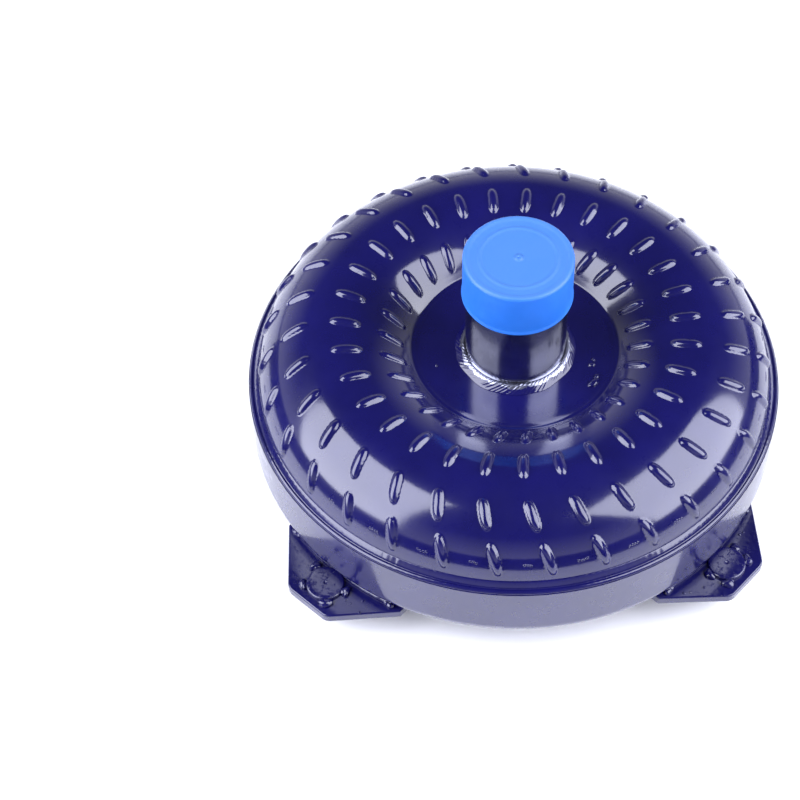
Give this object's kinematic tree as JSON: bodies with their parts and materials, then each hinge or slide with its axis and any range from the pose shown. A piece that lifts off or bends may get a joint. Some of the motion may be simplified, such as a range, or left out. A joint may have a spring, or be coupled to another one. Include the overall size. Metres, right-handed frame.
{
  "type": "torque converter",
  "caption": "Automatic transmission torque converter with a flanged front cover on studs, embossed pump shell, steel hub with shipping cap, and turbine, stator and one-way clutch inside.",
  "frame": {"origin": "on the axis, in the plane of the mounting lugs' undersides, at the centre of the stud circle", "axes": "+Z along the converter's axis towards the pump hub; the studs are at 45, 135, 225 and 315 degrees from +X about +Z"},
  "size_m": [0.255, 0.255, 0.1395],
  "materials": {
    "blue_paint": "gloss deep blue-violet enamel",
    "stud_steel": "zinc plated",
    "ground_steel": "ground",
    "bare_weld": "as welded, turned smooth",
    "blue_plastic": "soft moulded polyethylene",
    "pressed_steel": "furnace brazed",
    "cast_aluminium": "die cast",
    "bronze": "sintered",
    "hardened_steel": "hardened and ground"
  },
  "bodies": {
    "hub_cap": {"hub_cap": "blue_plastic"},
    "stator_race": {"clutch_inner_race": "hardened_steel", "rear_bearing_lower_race": "hardened_steel", "front_bearing_upper_race": "hardened_steel"},
    "stator": {"stator_wheel": "cast_aluminium", "clutch_cam": "hardened_steel", "clutch_rollers": "hardened_steel", "clutch_springs": "hardened_steel", "stator_front_plate": "hardened_steel", "stator_rear_plate": "hardened_steel", "stator_snap_ring": "hardened_steel"},
    "turbine": {"turbine_shell": "pressed_steel", "turbine_fins": "pressed_steel", "turbine_core_ring": "pressed_steel", "turbine_hub": "hardened_steel", "turbine_rivets": "hardened_steel", "turbine_thrust_washer": "bronze", "front_bearing_lower_race": "hardened_steel"},
    "front_bearing": {"front_bearing_cage": "hardened_steel", "front_bearing_needles": "hardened_steel"},
    "rear_bearing": {"rear_bearing_cage": "hardened_steel", "rear_bearing_needles": "hardened_steel"},
    "housing": {"impeller_shell": "blue_paint", "front_cover": "blue_paint", "closure_weld": "blue_paint", "impeller_hub": "ground_steel", "hub_weld": "bare_weld", "impeller_fins": "pressed_steel", "impeller_core_ring": "pressed_steel", "pilot_boss": "ground_steel", "pilot_weld": "blue_paint", "mounting_lug_1": "blue_paint", "mounting_lug_2": "blue_paint", "mounting_lug_3": "blue_paint", "mounting_lug_4": "blue_paint", "mounting_stud_1": "stud_steel", "mounting_stud_2": "stud_steel", "mounting_stud_3": "stud_steel", "mounting_stud_4": "stud_steel", "stud_welds": "blue_paint", "lug_welds": "blue_paint", "rear_bearing_upper_race": "hardened_steel"}
  },
  "joints": [
    {"name": "cap_pull", "type": "slide", "parent": "housing", "child": "hub_cap", "axis": [0, 0, 1], "range_m": [0, 0.1]},
    {"name": "stator_race_spin", "type": "hinge", "parent": "housing", "child": "stator_race", "pos_m": [0, 0, 0.036], "axis": [0, 0, 1], "continuous": true},
    {"name": "stator_overrun", "type": "hinge", "parent": "stator_race", "child": "stator", "pos_m": [0, 0, 0.036], "axis": [0, 0, 1], "continuous": true},
    {"name": "turbine_spin", "type": "hinge", "parent": "stator_race", "child": "turbine", "pos_m": [0, 0, 0.016], "axis": [0, 0, 1], "continuous": true},
    {"name": "front_bearing_spin", "type": "hinge", "parent": "stator_race", "child": "front_bearing", "pos_m": [0, 0, 0.0232], "axis": [0, 0, 1], "continuous": true},
    {"name": "rear_bearing_spin", "type": "hinge", "parent": "housing", "child": "rear_bearing", "pos_m": [0, 0, 0.0488], "axis": [0, 0, 1], "continuous": true}
  ],
  "couplings": [
    {"joint": "rear_bearing_spin", "follows": "stator_race_spin", "ratio": 0.5},
    {"joint": "front_bearing_spin", "follows": "turbine_spin", "ratio": 0.5}
  ]
}
